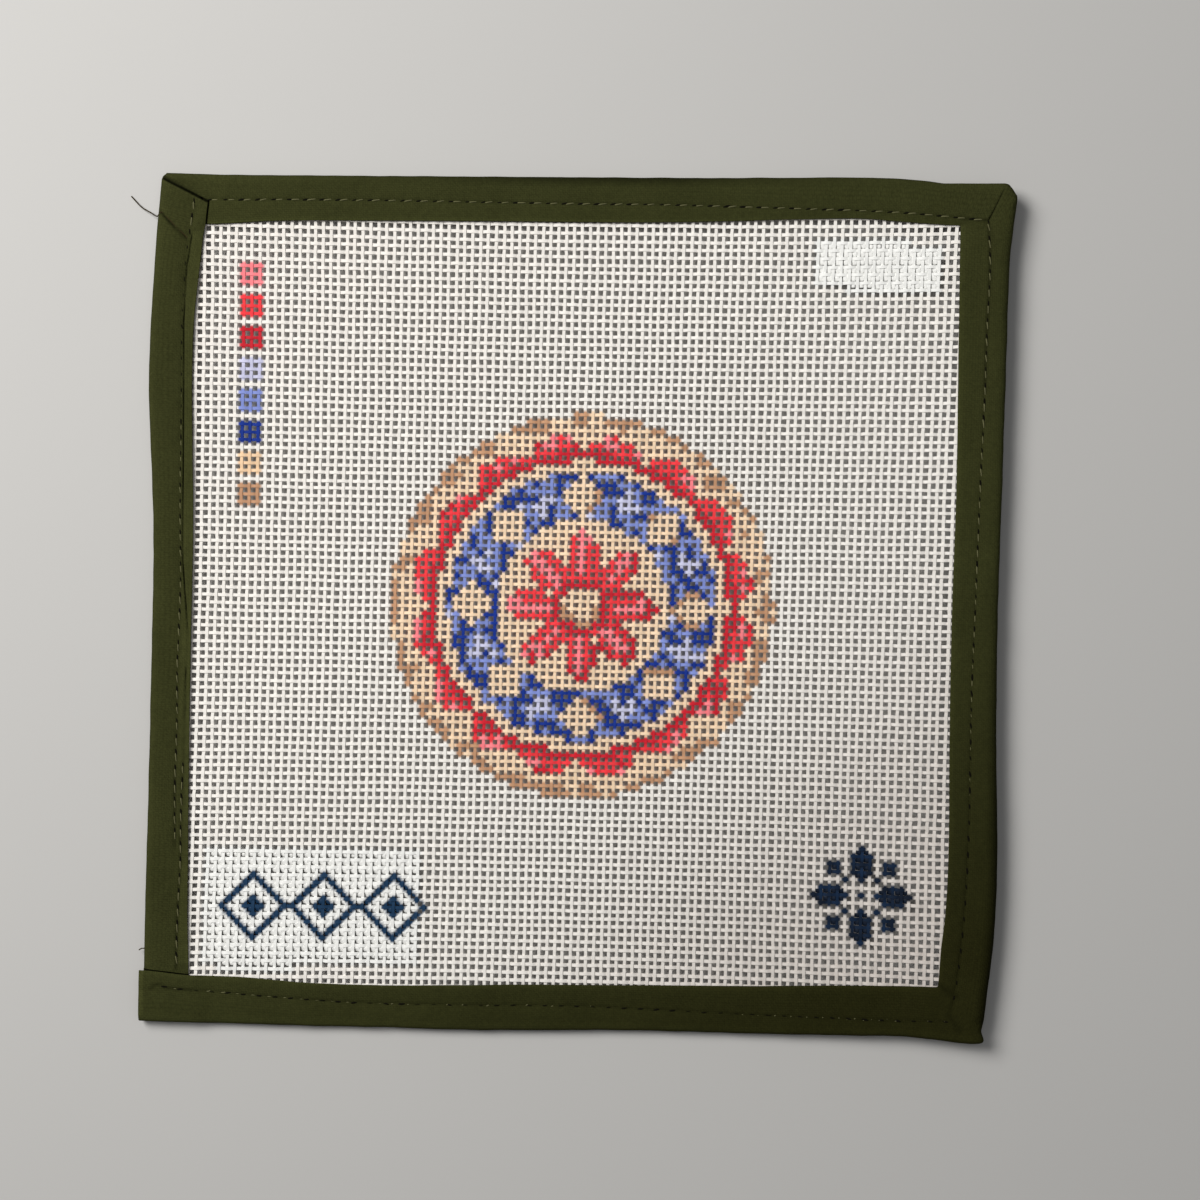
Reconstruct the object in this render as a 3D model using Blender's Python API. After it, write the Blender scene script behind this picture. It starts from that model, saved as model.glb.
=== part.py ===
"""A needlepoint canvas panel: a square of open woven canvas whose four raw edges are bound in one tape.

The panel lies face up, with its right side curling a few millimetres off the surface. Metres, +Z up.
The origin is on the surface that the panel lies on, at the middle of its outline.
Tables and named sizes are in millimetres, in the same frame.
"""
from collections import namedtuple
from math import cos, dist, pi, radians, sin, tan

import bmesh
import bpy

MM = 0.001

# ---- the stack of cloth, from the surface up: tape, canvas, tape ----
TAPE_THICK = 1.0
CANVAS_THICK = 1.2
CLEARANCE = 0.3
STACK_HEIGHT = 2 * TAPE_THICK + 2 * CLEARANCE + CANVAS_THICK
CANVAS_UNDERSIDE = TAPE_THICK + CLEARANCE

# ---- the right side curls up, as a parabola from a line where it leaves the surface ----
CURL_STARTS_AT = 22.0
CURL_REACH = 90.0
CURL_HEIGHT = 4.0

# ---- the canvas, cut along its threads; edges are distances from the weave's own centre ----
WEAVE_CENTRE_X = 1.7
WEAVE_CENTRE_Y = 1.5
CANVAS_LEFT = -103.5
CANVAS_RIGHT = 100.0
CANVAS_BOTTOM = -103.5
CANVAS_TOP = 100.5
CANVAS_CELLS = 30           # cells along each side, so that the sheet follows the curl
WEAVE_SKEW = radians(0.53)  # the upright threads lean this much to the right
WEAVE_OPENING = 0.0114      # how much further apart the threads lie at OPENING_RADIUS from the centre
OPENING_RADIUS = 100.0

# ---- the binding tape's folded section, in shares of its visible width ----
TYPICAL_WIDTH = 11.0
FOLD_STEPS = 6              # facets round the folded edge
UNDERSIDE_SHARE = 0.88      # the hidden underside is a little narrower than the face
STATION_SPACING = 6.0

# A Row is one measured place on a straight run: how far along the run, then the tape's outer folded
# edge and its inner edge, both across the run. A Turn is one line across the tape at a corner.
Row = namedtuple("Row", "along outer inner")
Turn = namedtuple("Turn", "outer_x outer_y inner_x inner_y")
Station = namedtuple("Station", "outer inner")

# Upwards along the left side: along is y, outer and inner are x.
LEFT_RUN = (
    Row(-80.0, -107.5, -96.7),
    Row(-50.0, -107.1, -96.8),
    Row(-20.0, -106.7, -96.6),
    Row(10.0, -106.6, -96.3),
    Row(25.0, -106.8, -96.4),
    Row(40.0, -107.6, -96.8),
    Row(55.0, -108.1, -97.1),
    Row(70.0, -107.7, -96.8),
    Row(80.0, -107.2, -96.1),
    Row(92.0, -106.7, -94.9),
)
# Rightwards along the top: along is x, outer and inner are y.
TOP_RUN = (
    Row(-90.0, 107.3, 95.1),
    Row(-75.0, 107.5, 95.8),
    Row(-50.0, 107.4, 96.4),
    Row(-20.0, 107.6, 96.8),
    Row(10.0, 107.7, 97.0),
    Row(30.0, 107.9, 97.1),
    Row(50.0, 108.3, 97.9),
    Row(70.0, 108.6, 98.4),
    Row(81.0, 108.4, 98.0),
    Row(91.0, 107.2, 97.0),
)
# Downwards along the right side: along is y, outer and inner are x.
RIGHT_RUN = (
    Row(96.0, 108.1, 95.2),
    Row(88.0, 107.4, 95.2),
    Row(60.0, 107.1, 95.4),
    Row(30.0, 106.9, 95.6),
    Row(0.0, 106.5, 95.3),
    Row(-30.0, 106.8, 95.4),
    Row(-60.0, 107.6, 95.6),
    Row(-75.0, 107.5, 95.2),
    Row(-84.0, 106.5, 94.4),
)
# Leftwards along the bottom, to the tape's lapping end: along is x, outer and inner are y.
BOTTOM_RUN = (
    Row(86.0, -106.7, -93.4),
    Row(66.0, -107.1, -94.1),
    Row(45.0, -107.3, -95.0),
    Row(15.0, -107.3, -95.7),
    Row(-10.0, -107.9, -96.3),
    Row(-30.0, -108.2, -96.8),
    Row(-46.0, -108.0, -96.9),
    Row(-66.0, -108.1, -97.0),
    Row(-82.0, -107.9, -96.5),
    Row(-97.0, -107.5, -95.6),
    Row(-105.0, -107.8, -95.2),
    Row(-109.1, -108.6, -94.9),
)
# The tape starts just above its own other end, on a line that slants as that end's edge does.
START_LINE = (Turn(-107.8, -94.5, -96.3, -95.3),)
TOP_LEFT_MITRE = (Turn(-105.7, 107.6, -94.3, 95.0),)
TOP_RIGHT_MITRE = (
    Turn(106.4, 107.2, 94.9, 96.7),
    Turn(107.3, 106.4, 95.2, 96.5),
    Turn(109.1, 104.0, 95.3, 96.1),
)
BOTTOM_RIGHT_CORNER = (
    Turn(105.9, -95.0, 93.9, -92.2),
    Turn(105.7, -102.0, 93.9, -92.9),
    Turn(105.6, -106.8, 93.8, -93.3),
    Turn(104.3, -108.1, 93.6, -93.4),
    Turn(101.8, -108.2, 93.2, -93.4),
    Turn(94.0, -107.3, 92.4, -93.4),
)

# ---- plain colours of the two cloths ----
TAPE_COLOUR = (0.042, 0.053, 0.018, 1.0)
CANVAS_COLOUR = (0.78, 0.74, 0.69, 1.0)


def curl(x):
    """Height that the panel's curl adds at x."""
    share = min(max((x - CURL_STARTS_AT) / CURL_REACH, 0.0), 1.0)
    return CURL_HEIGHT * share * share


def raised(x, y, z):
    """A point in metres, lifted by the curl."""
    return (x * MM, y * MM, (z + curl(x)) * MM)


def through(before, start, end, after, share):
    """A smooth value between start and end that also heads for its neighbours."""
    leave = (end - before) / 2
    arrive = (after - start) / 2
    return (
        start
        + leave * share
        + (3 * (end - start) - 2 * leave - arrive) * share**2
        + (2 * (start - end) + leave + arrive) * share**3
    )


def smoothed(rows):
    """The rows of a run, with smooth ones added between them."""
    padded = (rows[0], *rows, rows[-1])
    finer = []
    for before, start, end, after in zip(padded, padded[1:], padded[2:], padded[3:]):
        steps = max(1, round(abs(end.along - start.along) / STATION_SPACING))
        for step in range(steps):
            share = step / steps
            finer.append(
                Row(
                    start.along + (end.along - start.along) * share,
                    through(before.outer, start.outer, end.outer, after.outer, share),
                    through(before.inner, start.inner, end.inner, after.inner, share),
                )
            )
    return [*finer, rows[-1]]


def upright_run(rows):
    return [Station((row.outer, row.along), (row.inner, row.along)) for row in smoothed(rows)]


def level_run(rows):
    return [Station((row.along, row.outer), (row.along, row.inner)) for row in smoothed(rows)]


def turn(lines):
    return [Station((line.outer_x, line.outer_y), (line.inner_x, line.inner_y)) for line in lines]


def tape_stations():
    """Lines across the tape, all the way round from one end to the other."""
    return [
        *turn(START_LINE),
        *upright_run(LEFT_RUN),
        *turn(TOP_LEFT_MITRE),
        *level_run(TOP_RUN),
        *turn(TOP_RIGHT_MITRE),
        *upright_run(RIGHT_RUN),
        *turn(BOTTOM_RIGHT_CORNER),
        *level_run(BOTTOM_RUN),
    ]


def fold_arc(radius):
    """Half a circle round the folded edge from the face to the underside, as distance in and height."""
    centre = STACK_HEIGHT / 2
    angles = [pi / 2 + pi * step / FOLD_STEPS for step in range(FOLD_STEPS + 1)]
    return [(centre + radius * cos(angle), centre + radius * sin(angle)) for angle in angles]


def tape_section():
    """The folded tape's closed section: share of the width in from the folded edge, and height."""
    outside = [(inward / TYPICAL_WIDTH, height) for inward, height in fold_arc(STACK_HEIGHT / 2)]
    inside = [
        (inward / TYPICAL_WIDTH, height)
        for inward, height in fold_arc(STACK_HEIGHT / 2 - TAPE_THICK)
    ]
    face = [(1.0, STACK_HEIGHT), (0.6, STACK_HEIGHT)]
    underside = [
        (0.6 * UNDERSIDE_SHARE, 0.0),
        (UNDERSIDE_SHARE, 0.0),
        (UNDERSIDE_SHARE, TAPE_THICK),
        (0.6 * UNDERSIDE_SHARE, TAPE_THICK),
    ]
    back_of_face = [(0.6, STACK_HEIGHT - TAPE_THICK), (1.0, STACK_HEIGHT - TAPE_THICK)]
    return [*face, *outside, *underside, *reversed(inside), *back_of_face]


def section_ring(mesh, station, section):
    """The section's corners across the tape at one station."""
    (outer_x, outer_y), (inner_x, inner_y) = station
    ring = []
    for share, height in section:
        x = outer_x + (inner_x - outer_x) * share
        y = outer_y + (inner_y - outer_y) * share
        ring.append(mesh.verts.new(raised(x, y, height)))
    return ring


def bridge(mesh, ring, following):
    """Faces between two neighbouring rings."""
    for corner in range(len(ring)):
        beside = (corner + 1) % len(ring)
        mesh.faces.new((ring[corner], ring[beside], following[beside], following[corner]))


def make_binding_tape():
    """One tape, folded over the canvas's edge and carried round its corners."""
    section = tape_section()
    mesh = bmesh.new()
    rings = [section_ring(mesh, station, section) for station in tape_stations()]
    for ring, following in zip(rings, rings[1:]):
        bridge(mesh, ring, following)
    mesh.faces.new(rings[0])
    mesh.faces.new(rings[-1])
    return finished("binding_tape", mesh, TAPE_COLOUR)


def canvas_point(right, up):
    """Where a point of the square weave lies, once it has skewed and opened outwards."""
    spread = 1 + WEAVE_OPENING * dist((0, 0), (right, up)) ** 2 / OPENING_RADIUS**2
    x = WEAVE_CENTRE_X + right * spread + up * tan(WEAVE_SKEW)
    y = WEAVE_CENTRE_Y + up * spread
    return x, y


def make_canvas():
    """The canvas as a thin sheet, one grid of cells for its face and one for its underside."""
    mesh = bmesh.new()
    layers = []
    for height in (CANVAS_UNDERSIDE, CANVAS_UNDERSIDE + CANVAS_THICK):
        layer = []
        for row in range(CANVAS_CELLS + 1):
            up = CANVAS_BOTTOM + (CANVAS_TOP - CANVAS_BOTTOM) * row / CANVAS_CELLS
            line = []
            for column in range(CANVAS_CELLS + 1):
                right = CANVAS_LEFT + (CANVAS_RIGHT - CANVAS_LEFT) * column / CANVAS_CELLS
                line.append(mesh.verts.new(raised(*canvas_point(right, up), height)))
            layer.append(line)
        for low, high in zip(layer, layer[1:]):
            for column in range(CANVAS_CELLS):
                mesh.faces.new((low[column], low[column + 1], high[column + 1], high[column]))
        layers.append(layer)
    bridge(mesh, edge_loop(layers[0]), edge_loop(layers[1]))
    return finished("canvas", mesh, CANVAS_COLOUR)


def edge_loop(layer):
    """The corners round a grid's edge, in order."""
    bottom, top = layer[0], layer[-1]
    right = [line[-1] for line in layer[1:-1]]
    left = [line[0] for line in layer[1:-1]]
    return [*bottom, *right, *reversed(top), *reversed(left)]


def cloth_material(name, colour):
    material = bpy.data.materials.new(name)
    material.use_nodes = True
    shader = material.node_tree.nodes["Principled BSDF"]
    shader.inputs["Base Color"].default_value = colour
    shader.inputs["Roughness"].default_value = 0.9
    shader.inputs["Metallic"].default_value = 0.0
    return material


def finished(name, mesh, colour):
    """Turn the bmesh into a named object, shaded smooth but for its sharp edges."""
    bmesh.ops.recalc_face_normals(mesh, faces=mesh.faces)
    data = bpy.data.meshes.new(name)
    mesh.to_mesh(data)
    mesh.free()
    data.shade_smooth()
    data.set_sharp_from_angle(angle=radians(40))
    data.materials.append(cloth_material(name, colour))
    piece = bpy.data.objects.new(name, data)
    bpy.context.scene.collection.objects.link(piece)
    return piece


def main():
    for leftover in list(bpy.data.objects):
        bpy.data.objects.remove(leftover)
    make_canvas()
    make_binding_tape()


main()
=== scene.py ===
"""A needlepoint canvas panel: open woven canvas with a painted round medallion, bound in olive cotton tape.

Tables and named sizes are in millimetres, in the panel's own frame: +X to the design's right, +Y to its
top, +Z up out of the painted face, with the surface that it lies on at zero. Meshes are made in metres.
"""
from collections import namedtuple
from math import cos, hypot, pi, radians, sin, tan

import bmesh
import bpy
import numpy as np
from mathutils import Matrix, Vector, noise
from mathutils.bvhtree import BVHTree
from mathutils.kdtree import KDTree


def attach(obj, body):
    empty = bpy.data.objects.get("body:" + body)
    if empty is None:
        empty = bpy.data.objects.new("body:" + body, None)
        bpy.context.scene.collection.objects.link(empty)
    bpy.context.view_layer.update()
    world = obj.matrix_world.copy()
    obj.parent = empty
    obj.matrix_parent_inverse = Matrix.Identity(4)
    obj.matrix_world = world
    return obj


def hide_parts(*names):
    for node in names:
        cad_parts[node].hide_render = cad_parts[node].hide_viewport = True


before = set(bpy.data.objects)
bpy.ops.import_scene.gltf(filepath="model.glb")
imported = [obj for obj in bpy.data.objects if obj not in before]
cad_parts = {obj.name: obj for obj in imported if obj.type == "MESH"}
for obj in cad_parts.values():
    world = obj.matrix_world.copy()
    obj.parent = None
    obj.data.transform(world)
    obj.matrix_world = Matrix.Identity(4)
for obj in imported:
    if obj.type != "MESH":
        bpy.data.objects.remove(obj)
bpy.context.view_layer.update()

MM = 0.001
BODY = "root"

# ---- the camera, above the panel and a little to its upper right ----
CAMERA_PLACE = (21.92, 18.02, 553.46)
CAMERA_RIGHT = (0.99946193, 0.01784597, -0.02752025)
CAMERA_UP = (-0.01864521, 0.99940364, -0.02906409)
CAMERA_BACK = (0.02698516, 0.02956157, 0.99919864)
CAMERA_LENS = 65.43
SENSOR_WIDTH = 36.0

# ---- the right side curls up, as a parabola from a line where it leaves the surface ----
CURL_STARTS_AT = 22.0
CURL_REACH = 90.0
CURL_HEIGHT = 4.0

# ---- the weave: threads are numbered from the one nearest the weave's centre ----
PITCH = 25.4 / 13
FIRST_THREAD = -52
THREADS = 104
WEAVE_CENTRE_X = 1.95
WEAVE_CENTRE_Y = 1.33
WEAVE_SKEW = radians(0.62)  # the upright threads lean this much to the right
WEAVE_OPENING = 0.0114      # how much further apart the threads lie at OPENING_RADIUS from the centre
OPENING_RADIUS = 100.0
WEAVE_HEIGHT = 1.9          # the middle of the cloth above the surface
THREAD_WIDTH = 0.76
HOLE_PAINT_WIDTH = 1.25
HOLE_PAINT_THICK = 0.46
THREAD_THICK = 0.55
UPRIGHT_WAVE = 0.08         # how far a thread rises and dips from the middle of the cloth
LEVEL_WAVE = 0.19
DRIFT = 0.14                # how far the threads wander sideways
DRIFT_SIZE = 11.0

# ---- the tape ----
TYPICAL_WIDTH = 11.0
UNDERSIDE_SHARE = 0.88
TAPE_THICK = 0.55
FOLD_HEIGHT = 3.5
FOLD_DEPTH = 2.3            # how far in from its outer edge the folded tape is rounded
FOLD_STEPS = 9
CLEAR_OF_CANVAS = 2.6       # the tape's face is nowhere lower than this
STATION_SPACING = 0.8
KNEE_SHARE = 0.62           # where a bent line across the tape has its knee

Row = namedtuple("Row", "along outer inner")
Line = namedtuple("Line", "outer knee inner lift")
Corner = namedtuple("Corner", "outer inner knee lift", defaults=(None, 0.0))


def rows(*values):
    return [Row(*row) for row in values]


# Upwards along the left side: along is y, outer and inner are x.
LEFT_RUN = rows(
    (-80.0, -107.9, -96.8), (-50.0, -107.4, -96.9), (-20.0, -107.05, -96.85), (10.0, -106.8, -96.55),
    (25.0, -107.15, -96.65), (40.0, -107.9, -97.0), (55.0, -108.5, -97.3), (70.0, -108.15, -97.0),
    (80.0, -107.65, -96.1), (92.0, -106.95, -94.9),
)
# Rightwards along the top: along is x, outer and inner are y.
TOP_RUN = rows(
    (-90.0, 107.5, 95.1), (-75.0, 107.6, 96.05), (-50.0, 107.75, 96.4), (-20.0, 107.95, 96.65),
    (10.0, 108.15, 96.8), (30.0, 108.3, 97.2), (50.0, 108.55, 97.9), (70.0, 108.75, 98.4),
    (81.0, 108.45, 97.7), (91.0, 107.4, 97.0),
)
# Downwards along the right side: along is y, outer and inner are x.
RIGHT_RUN = rows(
    (96.0, 108.4, 95.4), (88.0, 107.7, 95.4), (60.0, 107.4, 95.6), (30.0, 107.1, 95.8),
    (0.0, 106.8, 95.4), (-30.0, 107.1, 95.5), (-60.0, 108.05, 95.9), (-75.0, 107.95, 95.5),
    (-84.0, 107.5, 94.6),
)
# Leftwards along the bottom, to the tape's lapping end: along is x, outer and inner are y.
BOTTOM_RUN = rows(
    (86.0, -107.1, -94.2), (66.0, -107.5, -94.75), (45.0, -107.7, -95.5), (15.0, -107.7, -96.05),
    (-10.0, -108.3, -96.5), (-30.0, -108.6, -97.1), (-46.0, -108.4, -97.5), (-66.0, -108.5, -97.3),
    (-82.0, -108.35, -96.3), (-97.0, -108.35, -96.0), (-105.0, -108.3, -95.2), (-108.9, -108.2, -95.0),
)

# The rows of stitching, as places on the tape's face. The left side was sewn in two goes.
LEFT_UPPER_SEAM = (
    (-100.1, -62.9), (-100.3, -54.2), (-100.3, -45.3), (-100.1, -37.1), (-100.0, -29.2),
    (-100.1, -18.0), (-99.8, -7.9), (-99.5, 4.8), (-99.7, 13.7), (-99.9, 25.1), (-99.9, 42.8),
    (-100.0, 58.0), (-100.0, 70.1), (-99.6, 80.7), (-99.2, 86.7), (-98.0, 94.5), (-97.2, 100.8),
)
LEFT_LOWER_SEAM = (
    (-99.4, -94.7), (-99.4, -90.8), (-99.3, -83.9), (-99.1, -76.7), (-98.9, -72.1), (-98.7, -66.5),
    (-98.7, -57.3), (-98.6, -48.6), (-98.4, -42.0),
)
TOP_SEAM = (
    (-93.4, 101.0), (-59.4, 101.4), (4.7, 101.2), (19.4, 101.3), (54.6, 100.7), (80.0, 99.9),
    (102.0, 98.0),
)
RIGHT_SEAM = (
    (102.1, 97.6), (102.6, 90.7), (102.75, 85.0), (102.5, 77.0), (102.3, 66.0), (102.1, 52.2),
    (101.5, 28.3), (101.0, -0.1), (100.6, -20.4), (100.7, -52.3), (100.2, -72.4), (99.0, -88.6),
    (97.4, -100.7),
)
BOTTOM_SEAM = (
    (96.1, -102.7), (76.4, -102.9), (44.1, -102.5), (6.3, -101.6), (-32.1, -102.0), (-56.4, -101.9),
    (-80.9, -100.6), (-93.3, -99.8), (-101.4, -99.2), (-104.4, -98.4), (-105.7, -99.6),
)
SEAMS = (LEFT_UPPER_SEAM[::-1], LEFT_LOWER_SEAM[::-1], TOP_SEAM, RIGHT_SEAM, BOTTOM_SEAM)
# The deep pleat beside the upper left stitching, from its lower end up.
PLEAT = (
    (-97.65, -17.5), (-97.55, -12.9), (-97.45, -8.3), (-97.75, -4.3), (-98.05, -0.7), (-98.35, 2.8),
    (-98.65, 6.4), (-98.95, 9.9), (-99.15, 37.8), (-99.25, 52.4), (-99.45, 70.1), (-99.25, 73.6),
    (-99.05, 78.9), (-98.85, 84.2), (-98.15, 87.7), (-97.65, 91.7),
)
STITCH_PITCH = 4.0
LOOSE_THREAD_THICK = 0.3


# ==== small helpers

def curl(x):
    """Height that the panel's curl adds at x."""
    share = np.clip((np.asarray(x, float) - CURL_STARTS_AT) / CURL_REACH, 0.0, 1.0)
    return CURL_HEIGHT * share * share


def in_scene(name, data):
    thing = bpy.data.objects.new(name, data)
    bpy.context.scene.collection.objects.link(thing)
    return thing


def shown(name, mesh, material=None):
    """A mesh as an object in the scene."""
    if material:
        mesh.materials.clear()
        mesh.materials.append(material)
    return in_scene(name, mesh)


def evaluated(thing, every_layer):
    """The mesh that an object's modifiers, or its curve, make."""
    state = bpy.context.evaluated_depsgraph_get()
    return bpy.data.meshes.new_from_object(
        thing.evaluated_get(state), preserve_all_data_layers=every_layer, depsgraph=state
    )


def new_mesh(name, places, edges=(), faces=()):
    """A mesh from places in millimetres."""
    mesh = bpy.data.meshes.new(name)
    mesh.from_pydata((np.asarray(places) * MM).tolist(), edges, faces)
    return mesh


def places_of(mesh):
    """A mesh's vertex places as an array, in millimetres."""
    places = np.empty(len(mesh.vertices) * 3, np.float32)
    mesh.vertices.foreach_get("co", places)
    return places.reshape(-1, 3).astype(float) / MM


def set_places(mesh, places):
    mesh.vertices.foreach_set("co", (places * MM).astype(np.float32).ravel())
    mesh.update()


def values_of(mesh, name):
    """A number attribute of a mesh's points as an array."""
    attribute = mesh.attributes[name]
    kind = np.int32 if attribute.data_type == "INT" else np.float32
    values = np.empty(len(attribute.data), kind)
    attribute.data.foreach_get("value", values)
    return values


def linear(*srgb):
    """A colour as a painter names it, 0 to 255, turned to the light that it sends back."""
    shares = [channel / 255 for channel in srgb]
    return tuple(s / 12.92 if s < 0.04045 else ((s + 0.055) / 1.055) ** 2.4 for s in shares)


def ripples(places, size, seed):
    """A smooth random number, about -0.5 to 0.5, at each place: it changes over size millimetres."""
    return np.array([noise.noise(Vector((x / size, y / size, seed))) for x, y in places])


def set_values(mesh, name, values):
    """Give a mesh a number for each of its points."""
    layer = mesh.attributes.new(name, "FLOAT", "POINT")
    layer.data.foreach_set("value", np.asarray(values, np.float32))


def set_colours(mesh, name, colours):
    """Give a mesh a colour for each of its points."""
    layer = mesh.color_attributes.new(name, "FLOAT_COLOR", "POINT")
    opaque = np.column_stack([colours, np.ones(len(colours))])
    layer.data.foreach_set("color", opaque.astype(np.float32).ravel())


def corner_points(mesh):
    """The number of the point at each corner of a mesh's faces."""
    numbers = np.empty(len(mesh.loops), np.int32)
    mesh.loops.foreach_get("vertex_index", numbers)
    return numbers


def set_map(mesh, name, pairs):
    """Give a mesh a UV map: two numbers for each corner of its faces."""
    layer = mesh.uv_layers.new(name=name)
    layer.data.foreach_set("uv", np.asarray(pairs, np.float32).ravel())


def distances_along(line):
    """How far along a line each of its points is."""
    steps = np.linalg.norm(np.diff(line, axis=0), axis=1)
    return np.concatenate([[0.0], np.cumsum(steps)])


def off_line(places, start, end):
    """How far places are from a straight line."""
    run = end - start
    share = np.clip((places - start) @ run / max(run @ run, 1e-9), 0, 1)
    return np.linalg.norm(places - start - share[:, None] * run, axis=1)


def bell(distance, width):
    """1 at no distance, and falling away smoothly over the width."""
    return np.exp(-((distance / width) ** 2))


def ramp(value, start, span):
    """0 up to the start, growing to 1 a span further on."""
    return np.clip((value - start) / span, 0, 1)


def through(points, spacing):
    """Places along a smooth line through the points, about spacing apart."""
    points = np.asarray(points, float)
    padded = np.vstack([2 * points[0] - points[1], points, 2 * points[-1] - points[-2]])
    placed = []
    for before, start, end, after in zip(padded, padded[1:], padded[2:], padded[3:]):
        length = np.linalg.norm(end - start)
        leave = (end - before) * length / (length + np.linalg.norm(start - before))
        arrive = (after - start) * length / (length + np.linalg.norm(after - end))
        for share in np.linspace(0, 1, max(1, round(length / spacing)), endpoint=False):
            placed.append(
                start
                + leave * share
                + (3 * (end - start) - 2 * leave - arrive) * share**2
                + (2 * (start - end) + leave + arrive) * share**3
            )
    return np.array([*placed, points[-1]])


# ==== building node trees

class Socket:
    """An output of a node, which sums are written with as with a plain number."""

    def __init__(self, end):
        self.end = end

    def do(self, operation, other=0.0, turned=False):
        first, second = (other, self) if turned else (self, other)
        return add(self.end.id_data, "ShaderNodeMath", {0: first, 1: second}, operation=operation)

    def __add__(self, other):
        return self.do("ADD", other)

    def __sub__(self, other):
        return self.do("SUBTRACT", other)

    def __rsub__(self, other):
        return self.do("SUBTRACT", other, turned=True)

    def __mul__(self, other):
        return self.do("MULTIPLY", other)

    __radd__, __rmul__ = __add__, __mul__


def add(tree, kind, numbered=None, out=0, **named):
    """Add a node and give one of its outputs. Names with a capital are inputs, and others are settings."""
    node = tree.nodes.new(kind)
    inputs = dict(numbered or {})
    for name, value in named.items():
        if name[0].isupper():
            inputs[name.replace("_", " ")] = value
        else:
            setattr(node, name, value)
    for key, value in inputs.items():
        if isinstance(value, Socket):
            tree.links.new(value.end, node.inputs[key])
        else:
            node.inputs[key].default_value = value
    return Socket(node.outputs[out])


def group(name, output, **inputs):
    """A node group whose inputs are named by kind, with those inputs and the end that its output goes to."""
    tree = bpy.data.node_groups.new(name, ("Geometry" if output == "Geometry" else "Shader") + "NodeTree")
    for kind, labels in inputs.items():
        for label in labels.split(", "):
            tree.interface.new_socket(name=label, in_out="INPUT", socket_type="NodeSocket" + kind)
    kind = "Geometry" if output == "Geometry" else "Float"
    tree.interface.new_socket(name=output, in_out="OUTPUT", socket_type="NodeSocket" + kind)
    given = {end.name: Socket(end) for end in tree.nodes.new("NodeGroupInput").outputs}
    return tree, given, tree.nodes.new("NodeGroupOutput").inputs[0]


def grown(name, base, tree, **values):
    """A plain mesh object that a Geometry Nodes tree makes from a base mesh, with the tree's named inputs."""
    piece = shown(name, base)
    modifier = piece.modifiers.new(tree.name, "NODES")
    modifier.node_group = tree
    for item in tree.interface.items_tree:
        label = item.name.replace(" ", "_")
        if item.in_out == "INPUT" and label in values:
            modifier[item.identifier] = values[label]
    mesh = evaluated(piece, True)
    piece.modifiers.clear()
    piece.data = mesh
    mesh.name = name
    bpy.data.meshes.remove(base)
    return piece


def parts(tree, place):
    """A place's three coordinates."""
    return [Socket(end) for end in add(tree, "ShaderNodeSeparateXYZ", Vector=place).end.node.outputs]


def joined(tree, x, y, z=0.0):
    return add(tree, "ShaderNodeCombineXYZ", X=x, Y=y, Z=z)


def vectors(tree, operation, first, second):
    return add(tree, "ShaderNodeVectorMath", {0: first, 1: second}, operation=operation)


# ==== Geometry Nodes

def finish(tree, geometry, given, made):
    """The last nodes of every Geometry Nodes tree: plain geometry, shaded smooth, in its material."""
    real = add(tree, "GeometryNodeRealizeInstances", Geometry=geometry)
    smooth = add(tree, "GeometryNodeSetShadeSmooth", Geometry=real)
    faced = add(tree, "GeometryNodeSetMaterial", Geometry=smooth, Material=given["Material"])
    tree.links.new(faced.end, made)
    return tree


def random_number(tree, low, high, **inputs):
    """A random number for each point, between two others."""
    kind = "FunctionNodeRandomValue"
    return add(tree, kind, {2: low, 3: high}, out=1, data_type="FLOAT", **inputs)


def labelled(tree, geometry, name, value):
    """The geometry with a number kept at each of its points."""
    kind = "GeometryNodeStoreNamedAttribute"
    return add(tree, kind, Geometry=geometry, Name=name, Value=value, data_type="FLOAT", domain="POINT")


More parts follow.
